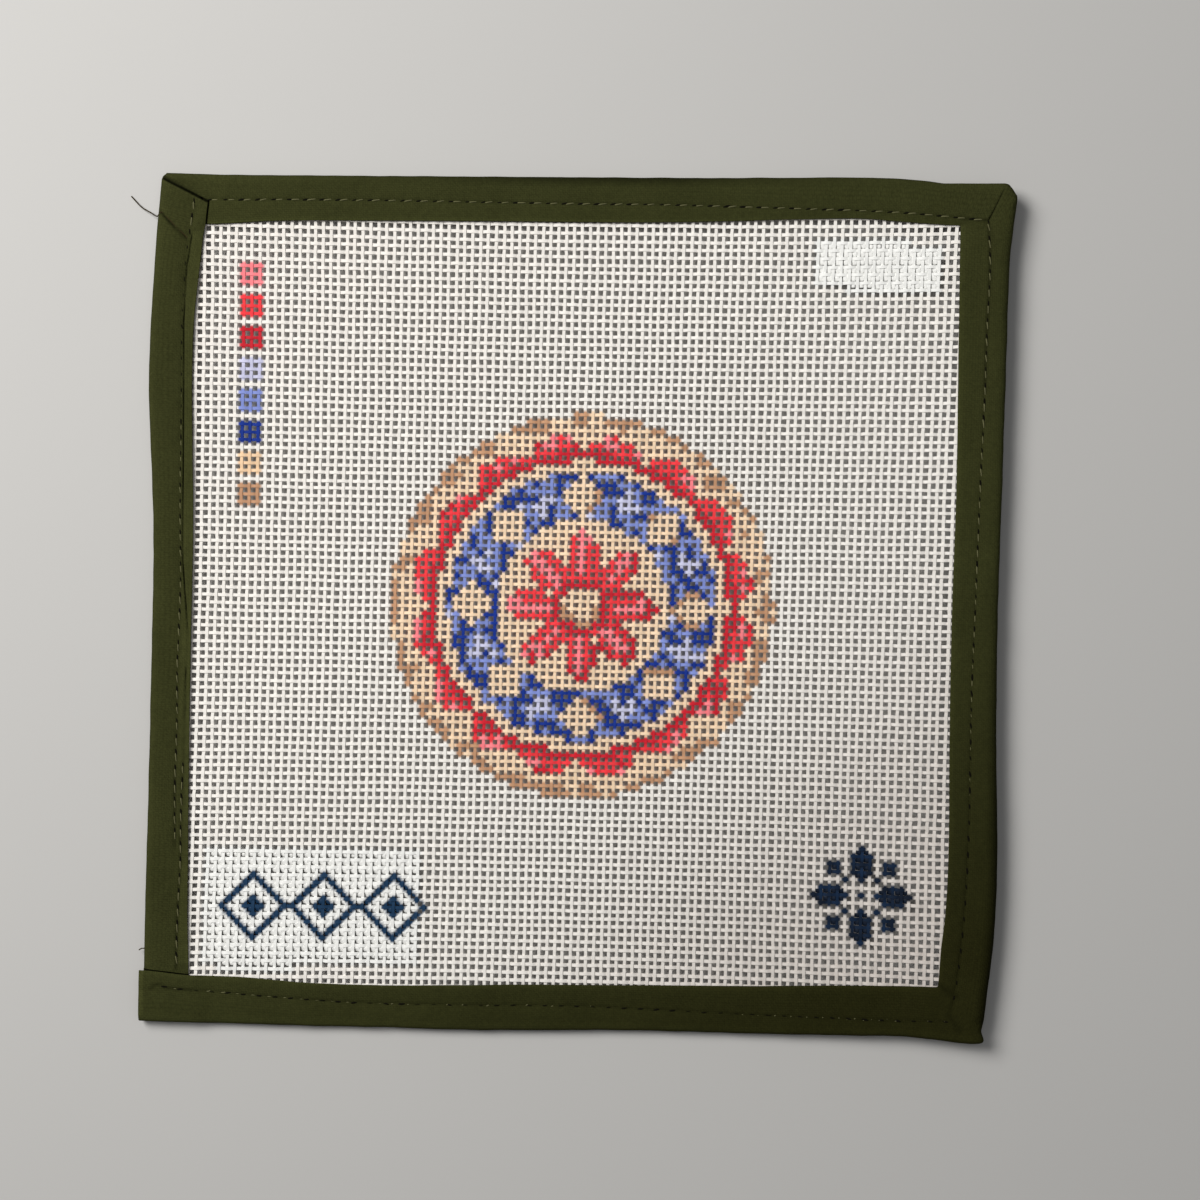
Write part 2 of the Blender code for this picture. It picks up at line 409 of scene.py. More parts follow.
def woven_threads_tree():
    """Parallel threads of a plain weave, each passing over and under in turn. Built flat and square."""
    tree, given, made = group(
        "woven threads",
        "Geometry",
        Int="Threads, Crossings, First Thread, First Crossing, Starts Over, Seed",
        Float="Pitch, Width, Thickness, Wave, Unevenness",
        Material="Material",
    )
    strand = add(tree, "GeometryNodeMeshLine", Count=given["Crossings"] * 3.0)
    strand = add(tree, "GeometryNodeMeshToCurve", Mesh=strand)
    row = add(tree, "GeometryNodeMeshLine", Count=given["Threads"])
    strands = add(tree, "GeometryNodeInstanceOnPoints", Points=row, Instance=strand)
    strands = add(tree, "GeometryNodeRealizeInstances", Geometry=strands)

    # Three rings to a crossing: at it, and a third of the pitch before and after it.
    index = add(tree, "GeometryNodeInputIndex")
    in_piece = add(tree, "GeometryNodeFieldOnDomain", Value=index, domain="CURVE", data_type="FLOAT")
    thread = in_piece + given["First Thread"]
    ring = add(tree, "GeometryNodeSplineParameter", out="Index")
    nearest = (ring * (1 / 3)).do("FLOOR")
    crossing = nearest + given["First Crossing"]
    aside = ring - nearest * 3.0 - 1.0
    off_crossing = aside.do("ABSOLUTE")
    over = 1.0 - (thread + crossing + given["Starts Over"]).do("FLOORED_MODULO", 2.0) * 2.0

    def random(identity):
        return random_number(tree, -1.0, 1.0, ID=identity, Seed=given["Seed"]) * given["Unevenness"]

    across = thread + random(thread) + random(index) * 0.45
    along = crossing + aside * (1 / 3)
    rise = over * given["Wave"] * (1.0 - off_crossing * 0.5)
    place = joined(tree, across * given["Pitch"], along * given["Pitch"], rise)
    strands = add(tree, "GeometryNodeSetPosition", Geometry=strands, Position=place)
    strands = labelled(tree, strands, "thread", thread)
    strands = labelled(tree, strands, "crossing", crossing)
    fullness = 1.09 + random(index) + over * 0.07 - off_crossing * 0.16
    strands = add(tree, "GeometryNodeSetCurveRadius", Curve=strands, Radius=fullness)
    strands = add(tree, "GeometryNodeSetCurveNormal", Curve=strands, mode="Z_UP")
    sides = {"Width": given["Width"], "Height": given["Thickness"]}
    outline = add(tree, "GeometryNodeCurvePrimitiveQuadrilateral", sides, mode="RECTANGLE")
    outline = labelled(tree, outline, "around", index)
    cloth = add(tree, "GeometryNodeCurveToMesh", Curve=strands, Profile_Curve=outline, Fill_Caps=True)
    return finish(tree, cloth, given, made)


def along_a_seam_tree():
    """Copies of one small piece, spaced along a line and turned with it."""
    numbers = "Spacing, Inset, Lean, Slant, Size Spread"
    tree, given, made = group(
        "along a seam", "Geometry", Geometry="Geometry", Object="Piece", Float=numbers, Int="Seed",
        Material="Material",
    )
    line = add(tree, "GeometryNodeMeshToCurve", Mesh=given["Geometry"])
    # One spacing is trimmed off in all, so that copies with other insets keep in step.
    until = add(tree, "GeometryNodeSplineLength") - (given["Spacing"] - given["Inset"])
    line = add(tree, "GeometryNodeTrimCurve", {4: given["Inset"], 5: until}, Curve=line, mode="LENGTH")
    line = add(tree, "GeometryNodeResampleCurve", Curve=line, Length=given["Spacing"], mode="LENGTH")
    tangent = add(tree, "GeometryNodeInputTangent")
    facing = add(tree, "FunctionNodeAlignRotationToVector", Vector=tangent, axis="X", pivot_axis="AUTO")
    lean, most = given["Lean"], given["Slant"]
    slant = random_number(tree, lean - most, lean + most, Seed=given["Seed"])
    turn = add(tree, "FunctionNodeAxisAngleToRotation", Axis=(0, 0, 1), Angle=slant)
    turns = {"Rotation": facing, "Rotate By": turn}
    facing = add(tree, "FunctionNodeRotateRotation", turns, rotation_space="LOCAL")
    spread = given["Size Spread"]
    size = random_number(tree, 1.0 - spread, 1.0 + spread, Seed=given["Seed"] + 1.0)
    piece = add(tree, "GeometryNodeObjectInfo", out="Geometry", Object=given["Piece"])
    lie = {"Rotation": facing, "Scale": size}
    placed = add(tree, "GeometryNodeInstanceOnPoints", lie, Points=line, Instance=piece)
    return finish(tree, placed, given, made)


def filled_holes_tree():
    """A pillow of dried paint at every point, each a little different in size and turn."""
    tree, given, made = group(
        "filled holes", "Geometry", Geometry="Geometry", Float="Size, Thickness", Int="Seed",
        Material="Material",
    )

    def random(low, high):
        ends = {0: low, 1: high}
        return add(tree, "FunctionNodeRandomValue", ends, Seed=given["Seed"], data_type="FLOAT_VECTOR")

    def kept(name):
        return add(tree, "GeometryNodeInputNamedAttribute", Name=name, data_type="FLOAT")

    grid = {"Vertices X": 5, "Vertices Y": 5, "Vertices Z": 2}
    pillow = add(tree, "GeometryNodeMeshCube", grid, Size=(1.0, 1.0, 1.0))
    # Round the corners off and thin the rim.
    place = add(tree, "GeometryNodeInputPosition")
    right, up = (side * side * 4.0 for side in parts(tree, place)[:2])
    pull = 1.0 - right * up * 0.14
    thin = 1.0 - right.do("MAXIMUM", up) * 0.22
    rounded = vectors(tree, "MULTIPLY", place, joined(tree, pull, pull, thin))
    pillow = add(tree, "GeometryNodeSetPosition", Geometry=pillow, Position=rounded)
    wide, sink = given["Size"] * kept("fill"), kept("sink")
    spread = random((0.94, 0.94, 0.8), (1.08, 1.08, 1.2))
    scale = vectors(tree, "MULTIPLY", spread, joined(tree, wide, wide, given["Thickness"]))
    turn = random((-0.07, -0.07, -0.1), (0.07, 0.07, 0.1))
    turn = vectors(tree, "ADD", turn, joined(tree, sink, sink * -1.0))
    lie = {"Rotation": turn, "Scale": scale}
    placed = add(tree, "GeometryNodeInstanceOnPoints", lie, Points=given["Geometry"], Instance=pillow)
    return finish(tree, placed, given, made)


# ==== shader groups

def mottling_group():
    """Soft uneven tone: large faint clouds and fine flecks, as one number around 1."""
    numbers = "Cloud Scale, Cloud Amount, Fleck Scale, Fleck Amount"
    tree, given, made = group("mottling", "Tone", Vector="Place", Float=numbers)
    tone = 1.0
    for name, detail in (("Cloud", 3.0), ("Fleck", 2.0)):
        look = {"Vector": given["Place"], "Scale": given[f"{name} Scale"], "Detail": detail}
        tone = tone + (add(tree, "ShaderNodeTexNoise", look) - 0.5) * given[f"{name} Amount"]
    tree.links.new(tone.end, made)
    return tree


def plain_weave_group():
    """The height of a fine plain weave, from a place on the cloth whose units are threads."""
    tree, given, made = group("plain weave", "Height", Vector="Place", Float="Raggedness")
    ragged = add(tree, "ShaderNodeTexNoise", Vector=given["Place"], Scale=0.35, Detail=2.0)
    offset = (ragged - 0.5) * given["Raggedness"]
    across, along = (((side + offset) * pi).do("SINE") for side in parts(tree, given["Place"])[:2])
    pick = (across * along).do("GREATER_THAN", 0.0)
    heights = {2: across.do("ABSOLUTE"), 3: along.do("ABSOLUTE")}
    height = add(tree, "ShaderNodeMix", heights, Factor=pick, data_type="FLOAT")
    tree.links.new(height.end, made)
    return tree


def twist_group():
    """The height of a thread's twisted plies, from the distance along it and the turn round it."""
    tree, given, made = group("twist", "Height", Vector="Place", Float="Plies, Lay")
    along, turn = parts(tree, given["Place"])[:2]
    phase = along * given["Lay"] + turn * given["Plies"]
    tree.links.new((phase * pi).do("SINE").do("ABSOLUTE").end, made)
    return tree


GROUPS = {}


def use_group(tree, name, **inputs):
    """One of the shared shader groups, placed in a material with its own values."""
    return add(tree, "ShaderNodeGroup", node_tree=GROUPS[name], **inputs)


def mottled(tree, place, clouds, flecks):
    """Uneven tone at a place, from the scale and amount of its clouds and of its flecks."""
    names = ("Cloud_Scale", "Cloud_Amount", "Fleck_Scale", "Fleck_Amount")
    return use_group(tree, "mottling", Place=place, **dict(zip(names, (*clouds, *flecks))))


def new_material(name, roughness, specular):
    """A material with its tree, its Principled shader, and the place on the object that is shaded."""
    material = bpy.data.materials.new(name)
    material.use_nodes = True
    tree = material.node_tree
    shader = tree.nodes["Principled BSDF"]
    shader.inputs["Roughness"].default_value = roughness
    shader.inputs["Specular IOR Level"].default_value = specular
    return material, tree, shader, add(tree, "ShaderNodeTexCoord", out="Object")


def dye(tree, shader, colour, tone):
    """Colour a shader, lighter or darker by a number."""
    shade = add(tree, "ShaderNodeVectorMath", {0: colour}, Scale=tone, operation="SCALE")
    tree.links.new(shade.end, shader.inputs["Base Color"])


def bump(tree, shader, height, strength, distance):
    """Raise a shader's surface by a height, up to a distance in metres."""
    normal = add(tree, "ShaderNodeBump", Height=height, Strength=strength, Distance=distance)
    tree.links.new(normal.end, shader.inputs["Normal"])


# ==== materials

BARE_CANVAS = linear(236, 232, 226)
PAINT_WHITE = linear(237, 237, 234)
PAINTS = {
    "bare": BARE_CANVAS,
    "white": PAINT_WHITE,
    "pink": linear(250, 130, 138),
    "red": linear(234, 58, 66),
    "dark red": linear(198, 30, 46),
    "pale blue": linear(196, 197, 224),
    "periwinkle": linear(127, 142, 206),
    "blue": linear(14, 47, 136),
    "cream": linear(233, 199, 162),
    "pale cream": linear(240, 211, 179),
    "brown": linear(190, 145, 112),
    "ink": linear(20, 53, 83),
    "deep ink": linear(8, 34, 62),
}
OLIVE = linear(52, 54, 28)
# painted falloff of the light: the tape's colour towards the lower right
OLIVE_IN_PAINTED_FALLOFF = linear(37, 37, 15)    # at the lower right, where the light falls off and the tape looks browner
OLIVE_THREAD = linear(95, 94, 65)  # the stitches, a little lighter and yellower than the tape
# the loose thread's own browner colour, made darker as painted shade so that it reads as lying in the crease
LOOSE_THREAD = linear(50, 41, 20)
# painted shadow in the needle holes
NEEDLE_SHADE = linear(10, 9, 3)


def attribute(tree, name, out):
    return add(tree, "ShaderNodeAttribute", out=out, attribute_name=name)


def canvas_material():
    """Sized cotton threads, bare or painted: the paint is an attribute, one colour to a crossing."""
    material, tree, shader, place = new_material("painted canvas thread", 0.75, 0.22)
    dye(tree, shader, attribute(tree, "paint", "Color"), mottled(tree, place, (60.0, 0.05), (1500.0, 0.16)))
    ply = add(tree, "ShaderNodeUVMap", uv_map="ply")
    bump(tree, shader, use_group(tree, "twist", Place=ply, Plies=4.0, Lay=3.0), 0.3, 0.00005)
    return material


def hole_paint_material():
    """Paint that has dried in the weave's holes: white, and ink in the snowflake and under the border."""
    material, tree, shader, place = new_material("dried paint", 0.6, 0.3)
    dye(tree, shader, attribute(tree, "paint", "Color"), mottled(tree, place, (150.0, 0.08), (1800.0, 0.1)))
    lumps = add(tree, "ShaderNodeTexNoise", Vector=place, Scale=1500.0, Detail=3.0)
    bump(tree, shader, lumps, 0.4, 0.00008)
    return material


def tape_material():
    """Olive cotton tape: a fine plain weave, lighter where it is rubbed, with painted shade dark in its
    creases.
    """
    material, tree, shader, place = new_material("olive cotton tape", 0.95, 0.03)
    cloth = add(tree, "ShaderNodeUVMap", uv_map="cloth")
    threads = add(tree, "ShaderNodeMapping", Vector=cloth, Scale=(2200.0, 2200.0, 1.0))
    height = use_group(tree, "plain weave", Place=threads, Raggedness=1.2)
    lengthwise = add(tree, "ShaderNodeMapping", Vector=cloth, Scale=(60.0, 1100.0, 1.0))
    streaks = mottled(tree, lengthwise, (1.0, 0.12), (0.0, 0.0))
    worn, painted_shade, deep = (attribute(tree, name, "Fac") for name in ("worn", "painted_shade", "deep"))
    tone = mottled(tree, place, (70.0, 0.34), (1400.0, 0.6)) * streaks * (0.84 + height * 0.25)
    # painted shade darkens the tape by up to 88% in its creases, seams and folds
    tone = tone * (1.0 + worn * 0.5) * (1.0 - painted_shade * 0.88)
    # painted falloff: the tape turns to the darker, browner olive towards the lower right
    olives = {6: (*OLIVE, 1.0), 7: (*OLIVE_IN_PAINTED_FALLOFF, 1.0)}
    dye(tree, shader, add(tree, "ShaderNodeMix", olives, out=2, Factor=deep, data_type="RGBA"), tone)
    bump(tree, shader, height, 0.5, 0.00012)
    return material


def thread_material(name, colour):
    """Olive cotton sewing thread."""
    material, tree, shader, place = new_material(name, 0.8, 0.1)
    dye(tree, shader, colour, mottled(tree, place, (300.0, 0.5), (4000.0, 0.5)))
    turns = add(tree, "ShaderNodeTexWave", out="Fac", Vector=place, Scale=900.0)
    bump(tree, shader, turns, 0.4, 0.00005)
    return material


def needle_hole_shadow_material():
    """Painted shadow: the dark of a needle hole, where the cloth is pulled in."""
    material, tree, shader, place = new_material("needle mark", 0.95, 0.1)
    dye(tree, shader, NEEDLE_SHADE, mottled(tree, place, (200.0, 0.6), (3000.0, 0.4)))
    return material


def floor_material():
    """A plain pale matte surface."""
    material, _, shader, _ = new_material("pale floor", 0.9, 0.2)
    shader.inputs["Base Color"].default_value = (*linear(190, 189, 187), 1.0)
    return material


# ==== the painted design

DISC_CENTRE = (0.25, -0.7)      # in threads
RIM_RADIUS = 24.8
SCALLOP_BAND = (22.2, 18.4)     # outer and inner radius of the red scallops
BLUE_BAND = (17.4, 11.2)
PETALS = 8
PETAL_REACH = 9.8
BUTTON_RADIUS = 2.6
KEY_COLUMN = -43
KEY_TOP_ROW = 41
KEY_STEP = 4
KEY_PAINTS = ("pink", "red", "dark red", "pale blue", "periwinkle", "blue", "cream", "brown")
SNOWFLAKE_CENTRE = (37, -37)
DIAMOND_ROW = -40
DIAMOND_COLUMNS = (-45, -19)
DIAMOND_REACH = 4
STROKE_WIDTH = 1.45             # in millimetres
THIN_PAINTS = ("pink", "pale blue", "cream", "pale cream")
THINNESS = 0.04                 # how much bare canvas may show through those
# How much a colour varies from crossing to crossing: the usual share, and those of other colours.
USUAL_UNEVENNESS = 0.16
UNEVENNESS = {"bare": 0.06, "white": 0.06, "ink": 0.6, "deep ink": 1.0}
# The light that falls off, painted in: brightness by threads to the right less threads up.
BRIGHTNESS = ((-90, 0.93), (-50, 0.98), (-25, 1.01), (30, 1.01), (46, 0.96), (62, 0.86), (90, 0.73))
DIMMING = (1.0, 1.15, 1.2)      # of red, green and blue: dim cloth looks a little redder


def cloudy(right, up, size, seed):
    """A smooth random number from -1 to 1 that changes over size threads."""
    return noise.noise(Vector((right / size, up / size, seed)))


def rosette(right, up, radius, angle):
    """The red flower in the middle: eight round-tipped petals on cream, about a button."""
    if radius < BUTTON_RADIUS:
        return "brown" if radius > BUTTON_RADIUS - 1.0 and up < 0 else "pale cream"
    swing = abs(cos(PETALS / 2 * angle))
    reach = PETAL_REACH * (0.35 + 0.65 * swing**0.6)
    if radius > reach:
        return "pale cream"
    if radius > reach - 1.3 and right - up > 0:
        return "dark red"
    if swing > 0.93 and radius > 4.0:
        return "pink"
    return "red" if radius > 3.6 else "dark red"


def blue_ring(right, up, radius, angle):
    """The blue ring: mottled brush marks, pale sparks and eight cream diamonds."""
    middle = sum(BLUE_BAND) / 2
    step = 2 * pi / PETALS
    turned = (angle + step / 2) % step - step / 2
    off_axis, off_middle = radius * sin(turned), radius * cos(turned) - middle
    reach = abs(off_axis) + abs(off_middle)
    if reach < 2.9:
        return "brown" if reach > 2.0 and right > 0 and off_middle < 0.5 else "pale cream"
    spark = (angle % step) - step / 2
    off_spark, off_ring = radius * sin(spark), radius * cos(spark) - middle
    if min(abs(off_spark), abs(off_ring)) < 0.5 and max(abs(off_spark), abs(off_ring)) < 1.6:
        return "pale blue"
    tone = cloudy(right, up, 1.8, 3.0)
    return "pale blue" if tone > 0.46 else "periwinkle" if tone > 0.0 else "blue"


def scallops(right, up, radius, angle):
    """Red scallops, pink where they catch the light and dark along their inner edge."""
    outer, inner = SCALLOP_BAND
    depth = (radius - inner) / (outer - inner)
    arch = abs(sin(PETALS * angle))
    if depth < 0.1 or depth > 0.25 + 0.8 * arch**0.6:
        return "pale cream"
    tone = cloudy(right, up, 1.9, 8.0)
    if depth < 0.42 or tone < -0.38:
        return "dark red"
    return "pink" if tone > 0.12 + 0.4 * (depth < 0.6) else "red"


def medallion(i, j):
    """The colour of the round medallion at a crossing, or None outside it."""
    right, up = i - DISC_CENTRE[0], j - DISC_CENTRE[1]
    radius = hypot(right, up)
    if radius > RIM_RADIUS:
        return None
    angle = np.arctan2(up, right)
    if radius < BLUE_BAND[1] - 0.9:
        return rosette(right, up, radius, angle)
    if BLUE_BAND[1] < radius < BLUE_BAND[0]:
        return blue_ring(right, up, radius, angle)
    if SCALLOP_BAND[1] < radius < SCALLOP_BAND[0]:
        return scallops(right, up, radius, angle)
    if radius > SCALLOP_BAND[0] and cloudy(right, up, 2.4, 5.0) + 0.25 * (radius - 23.4) > 0.12:
        return "brown"
    return "pale cream"


def colour_key(i, j):
    """A column of small squares, one for each paint."""
    down, within = divmod(KEY_TOP_ROW + 1 - j, KEY_STEP)
    if abs(i - KEY_COLUMN) <= 1 and 0 <= down < len(KEY_PAINTS) and within < 3:
        return KEY_PAINTS[down]
    return None


def snowflake(i, j):
    """A bold eight-armed snowflake in ink."""
    right, up = abs(i - SNOWFLAKE_CENTRE[0]), abs(j - SNOWFLAKE_CENTRE[1])
    longer, shorter = max(right, up), min(right, up)
    arm = shorter == 0 and 1 < longer <= 6
    leaf = longer in (3, 4, 5) and shorter == 1
    ray = shorter == longer and 2 <= longer <= 4
    tip = longer == 4 and shorter == 3
    return "deep ink" if arm or leaf or ray or tip or longer == 0 else None


def diamond_border(i, j):
    """A row of touching diamonds, each with a spot inside it, in ink."""
    first, last = DIAMOND_COLUMNS
    if not first <= i <= last:
        return None
    right = (i - first) % (2 * DIAMOND_REACH + 1) - DIAMOND_REACH
    reach = abs(right) + abs(j - DIAMOND_ROW)
    return "ink" if reach in (0, 1, DIAMOND_REACH) else None


CORNERS = ((0, 0), (0, 1), (1, 0), (1, 1))  # the crossings round a hole, from its lower left


def hole_fill(i, j):
    """How full of white paint the hole right of and above a crossing is, in the two white patches."""
    if 29 <= i <= 43:
        if 41 <= j <= 44 or (j == 40 and i > 35) or (j == 45 and i < 35):
            return 1.0
        if (j == 40 and i > 32) or (j == 45 and i < 40):
            return 0.72
    ragged = cloudy(i, j, 3.0, 1.0)
    if -47 <= i <= -21 and -47 <= j <= -34:
        edge = i in (-47, -21) or j in (-47, -34)
        return 0.8 + 0.2 * ragged if edge else 1.03
    return 0.8 + 0.2 * ragged if j == -48 and -45 <= i <= -37 else 0.0


def painted_chart():
    """The paint on every crossing, as an array of colours by upright thread and level thread."""
    chart = np.empty((THREADS, THREADS, 3))
    shade = np.random.default_rng(11)
    for column in range(THREADS):
        for row in range(THREADS):
            i, j = FIRST_THREAD + column, FIRST_THREAD + row
            paint = medallion(i, j) or colour_key(i, j) or snowflake(i, j) or diamond_border(i, j)
            if not paint:
                covered = any(hole_fill(i - a, j - b) for a, b in CORNERS)
                paint = "white" if covered else "bare"
            mix = (THINNESS if paint in THIN_PAINTS else 0.0) * shade.random()
            colour = np.array(PAINTS[paint]) * (1 - mix) + np.array(BARE_CANVAS) * mix
            colour *= np.interp(i - j, *zip(*BRIGHTNESS)) ** np.array(DIMMING)
            uneven = UNEVENNESS.get(paint, USUAL_UNEVENNESS)
            chart[column, row] = colour * (1 + uneven * (shade.random() - 0.5))
    return chart


# ==== the canvas

def laid_out(places):
    """Flat square weave moved to where the cloth lies: uneven, skewed, opened outwards and curled."""
    right, up, height = places.T
    plan = places[:, :2]
    right = right + DRIFT * ripples(plan, DRIFT_SIZE, 0.0)
    up = up + DRIFT * ripples(plan, DRIFT_SIZE, 9.0)
    spread = 1 + WEAVE_OPENING * (right**2 + up**2) / OPENING_RADIUS**2
    x = WEAVE_CENTRE_X + right * spread + up * tan(WEAVE_SKEW)
    y = WEAVE_CENTRE_Y + up * spread
    z = WEAVE_HEIGHT + height + 0.12 * ripples(plan, DRIFT_SIZE / 3, 4.0) + curl(x)
    return np.column_stack([x, y, z])


def inked_lines():
    """The lines between neighbouring crossings of the border that are inked, in millimetres."""
    first, last = DIAMOND_COLUMNS
    inked = {
        (i, j)
        for i in range(first, last + 1)
        for j in range(DIAMOND_ROW - DIAMOND_REACH, DIAMOND_ROW + DIAMOND_REACH + 1)
        if diamond_border(i, j)
    }
    steps = ((1, 0), (0, 1), (1, 1), (1, -1), (0, 0))
    pairs = [(a, (a[0] + i, a[1] + j)) for a in inked for i, j in steps if (a[0] + i, a[1] + j) in inked]
    ends = np.array(pairs, float) * PITCH
    return ends[:, 0], ends[:, 1]


def ink_share(places):
    """How much ink lies at places on the flat weave, from brush strokes along the border's lines."""
    starts, ends = inked_lines()
    low, high = starts.min(axis=0) - PITCH, ends.max(axis=0) + PITCH
    inside = ((places > low) & (places < high)).all(axis=1)
    close = places[inside]
    nearest = np.full(len(close), 9.0)
    for start, end in zip(starts, ends):
        nearest = np.minimum(nearest, off_line(close, start, end))
    ink = np.zeros(len(places))
    ink[inside] = np.clip((STROKE_WIDTH / 2 + 0.15 - nearest) / 0.3, 0, 1)
    return ink


THREAD_SIDES = ((0.78, 0.94), (0.22, 0.06), (0.22, 0.22), (0.78, 0.78))  # below, and above


def thread_maps(mesh, strip, strips, around, along):
    """The map that the threads are baked through, and the map that their twist follows."""
    corners = corner_points(mesh).reshape(-1, 4)
    turn = around[corners]
    low = turn < 2
    underneath = low.all(axis=1, keepdims=True)
    end_cap = (low.sum(axis=1, keepdims=True) == 2) & (np.ptp(along[corners], axis=1) < 0.1)[:, None]
    below, above = np.array(THREAD_SIDES).T
    across = np.where(underneath, below[turn] + strips, above[turn])
    length = along[corners] / PITCH - FIRST_THREAD + 1 - 0.4 * (end_cap & low)
    wrapped = np.where((turn == 0) & (turn == 3).any(axis=1, keepdims=True), 4, turn)
    set_map(mesh, "ply", np.stack([along[corners] / PITCH, wrapped / 4], axis=-1))
    strips_across = (strip[corners] + across) / strips / 2
    set_map(mesh, "OFBake", np.stack([strips_across, length / (THREADS + 1)], axis=-1))


def canvas_threads(name, tree, material, chart, first, level, wave, seed):
    """Half of the threads of one direction, woven flat, painted, and laid where the cloth is."""
    strips = THREADS // 2
    piece = grown(
        name, bpy.data.meshes.new(name), tree, Threads=strips, Crossings=THREADS, First_Thread=first,
        First_Crossing=FIRST_THREAD, Starts_Over=0 if level else 1, Pitch=PITCH * MM,
        Width=THREAD_WIDTH * MM, Thickness=THREAD_THICK * MM, Wave=wave * MM, Unevenness=0.05,
        Seed=seed, Material=material,
    )
    mesh = piece.data
    thread, crossing, around = (
        values_of(mesh, label).round().astype(int) for label in ("thread", "crossing", "around")
    )
    places = places_of(mesh)
    thread_maps(mesh, thread - first, strips, around, places[:, 1])

    thread = thread - FIRST_THREAD
    crossing = crossing - FIRST_THREAD
    colours = chart[crossing, thread] if level else chart[thread, crossing]
    painted = np.where(around < 2, 0.9, 1.0)[:, None]
    colours = colours * painted + np.array(BARE_CANVAS) * (1 - painted)
    mesh.set_sharp_from_angle(angle=radians(50))
    if level:
        places = places[:, [1, 0, 2]]
        mesh.flip_normals()
        # painted highlight and shade: level threads 5% lighter where they pass over, 3% darker where they dip
        # under
        colours = colours * np.where((thread + crossing) % 2 == 0, 1.05, 0.97)[:, None]
    ink = ink_share(places[:, :2])[:, None]
    set_colours(mesh, "paint", colours * (1 - ink) + np.array(PAINTS["ink"]) * ink)
    set_places(mesh, laid_out(places))
    return piece


def hole_paint(tree, material):
    """Paint that fills the weave's holes: white in two patches, and ink in the snowflake, with painted shade
    in both.
    """
    numbers = range(FIRST_THREAD, FIRST_THREAD + THREADS)
    white = [(i, j, hole_fill(i, j)) for i in numbers for j in numbers if hole_fill(i, j) > 0]
    inked = {(i, j): sum(bool(snowflake(i + a, j + b)) for a, b in CORNERS) for i in numbers for j in numbers}
    ink = [(*hole, 1.0) for hole, sides in inked.items() if sides >= 3]
    corners, fills, sinks = [], [], []
    uneven = np.random.default_rng(7)
    for i, j, fill in [*white, *ink]:
        upper = j > 0
        aside = 0.06 if upper else 0.07
        slack = 0.28 * (1 - fill) * (-1 if j in (45, -34) else 1)
        sink = 0.05 if upper or i > 0 else 0.1 + 0.14 * uneven.random()
        corners.append((i + 0.5 + aside, j + 0.5 + aside + slack, -0.3 * sink))
        fills.append(fill)
        sinks.append(sink)
    base = new_mesh("hole_paint", np.array(corners) * (PITCH, PITCH, 1.0))
    set_values(base, "fill", fills)
    set_values(base, "sink", sinks)
    sizes = {"Size": HOLE_PAINT_WIDTH * MM, "Thickness": HOLE_PAINT_THICK * MM}
    piece = grown("hole_paint", base, tree, Seed=5, Material=material, **sizes)
    places = places_of(piece.data)
    # Each pillow's lower left corner droops into its hole, most in the lower patch.
    across, up = (places[:, :2] / PITCH % 1.0 - 0.5).T
    lower_patch = (places[:, 0] < 0) & (places[:, 1] < 0)
    droop = np.where(lower_patch, 0.46 + 0.35 * ripples(places[:, :2], 1.3, 3.0), 0.3)
    drooping = np.clip((0.16 - across - up) / 0.5, 0, 1)
    places[:, 2] -= droop * drooping
    ink = ink_share(places[:, :2])[:, None]
    # painted shade: the drooping lower left corners of the lower patch are up to 30% darker
    colours = np.array(PAINT_WHITE) * (1 - 0.3 * drooping * lower_patch)[:, None]
    colours = colours * (1 - ink) + np.array(PAINTS["ink"]) * ink
    # painted shade: the ink in the snowflake's holes is 0.4 as light as the ink itself, as sunk in the weave
    colours[(places[:, 0] > 0) & (places[:, 1] < 0)] = 0.4 * np.array(PAINTS["deep ink"])
    set_colours(piece.data, "paint", colours)
    set_places(piece.data, laid_out(places))
    return piece


# ==== the tape

def run_lines(rows, upright):
    """Lines across the tape along one straight run."""
    smooth = through([tuple(row) for row in rows], STATION_SPACING)
    lines = []
    for along, outer, inner in smooth:
        ends = ((outer, along), (inner, along)) if upright else ((along, outer), (along, inner))
        outer_end, inner_end = np.array(ends)
        knee = outer_end + (inner_end - outer_end) * KNEE_SHARE
        lines.append(Line(outer_end, knee, inner_end, 0.0))
    return lines


# The tape starts under its own lapping end, and steps down to it along a slanting line: offset and lift.
LAP_STEPS = ((-5.0, -0.55), (-2.0, -0.55), (-0.4, -0.55), (0.15, -0.55), (0.35, 0.0))
UPPER_LEFT = (
    Corner((-106.15, 102.7), (-94.5, 94.1), (-95.4, 98.3), 0.08),
    Corner((-105.85, 106.15), (-94.3, 95.0), (-93.8, 100.1), 0.12),
)
# The fold's edge drops to the top run, which starts under it.
UNDER_FOLD = (
    Corner((-105.8, 106.35), (-94.2, 95.0), (-93.65, 100.35), -0.55),
    Corner((-105.7, 106.6), (-93.95, 95.0), (-93.4, 100.65), -0.55),
    Corner((-105.5, 106.95), (-93.85, 95.0), (-93.3, 100.72), -0.12),
    Corner((-104.5, 107.75), (-93.7, 95.0), (-93.15, 100.8), -0.05),
    Corner((-100.9, 107.75), (-91.3, 95.0), (-91.0, 100.8)),
)
CHAMFER = (
    Corner((105.6, 107.4), (95.0, 96.85), (101.6, 98.4)),
    Corner((106.2, 107.4), (95.1, 96.8), (102.0, 98.1)),
    Corner((107.1, 107.15), (95.2, 96.7), (102.2, 97.8)),
    Corner((108.0, 106.1), (95.3, 96.6), (102.4, 97.4)),
    Corner((109.3, 104.1), (95.5, 96.2), (102.7, 96.5)),
)
